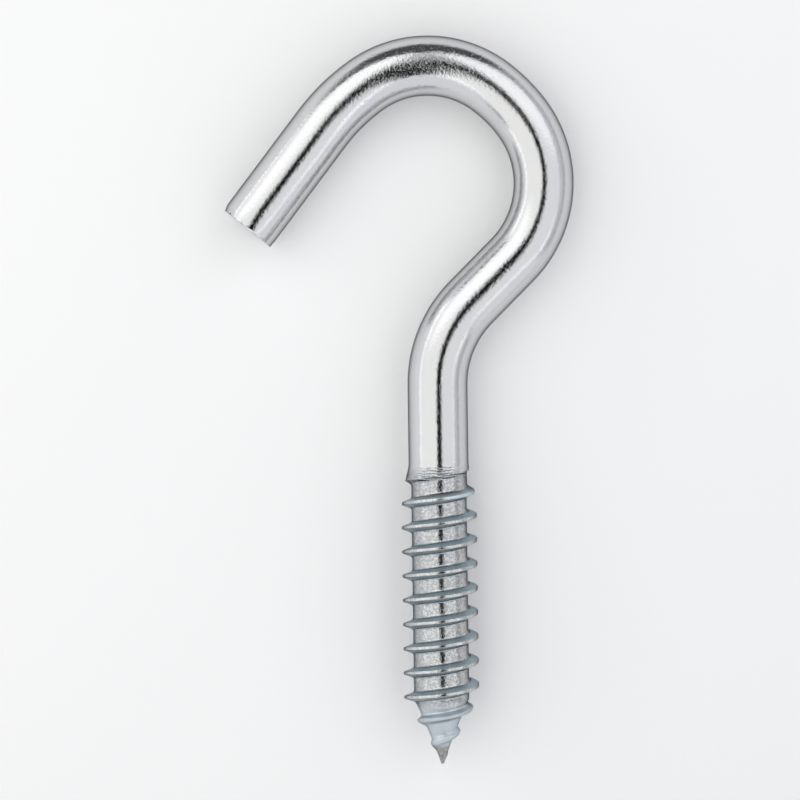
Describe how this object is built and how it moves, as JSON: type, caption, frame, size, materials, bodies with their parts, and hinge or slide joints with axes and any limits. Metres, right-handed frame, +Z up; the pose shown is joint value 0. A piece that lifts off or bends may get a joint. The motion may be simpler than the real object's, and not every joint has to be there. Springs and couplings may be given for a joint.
{
  "type": "screw hook",
  "caption": "Round open screw hook in bright zinc-plated steel, with a gimlet point and a coarse wood thread.",
  "frame": {"origin": "middle of the footprint of the hook as it lies on its side, at the level of the surface it lies on", "axes": "+Y from the point of the screw towards the round of the hook, +X from the open side of the hook towards its closed side, +Z up out of the plane of the hook"},
  "size_m": [0.0368, 0.0764, 0.0082],
  "materials": {
    "zinc_plated_steel": "bright zinc plating with a clear blue passivation over smooth drawn steel wire"
  },
  "bodies": {
    "root": {"screw_hook": "zinc_plated_steel"}
  },
  "joints": []
}
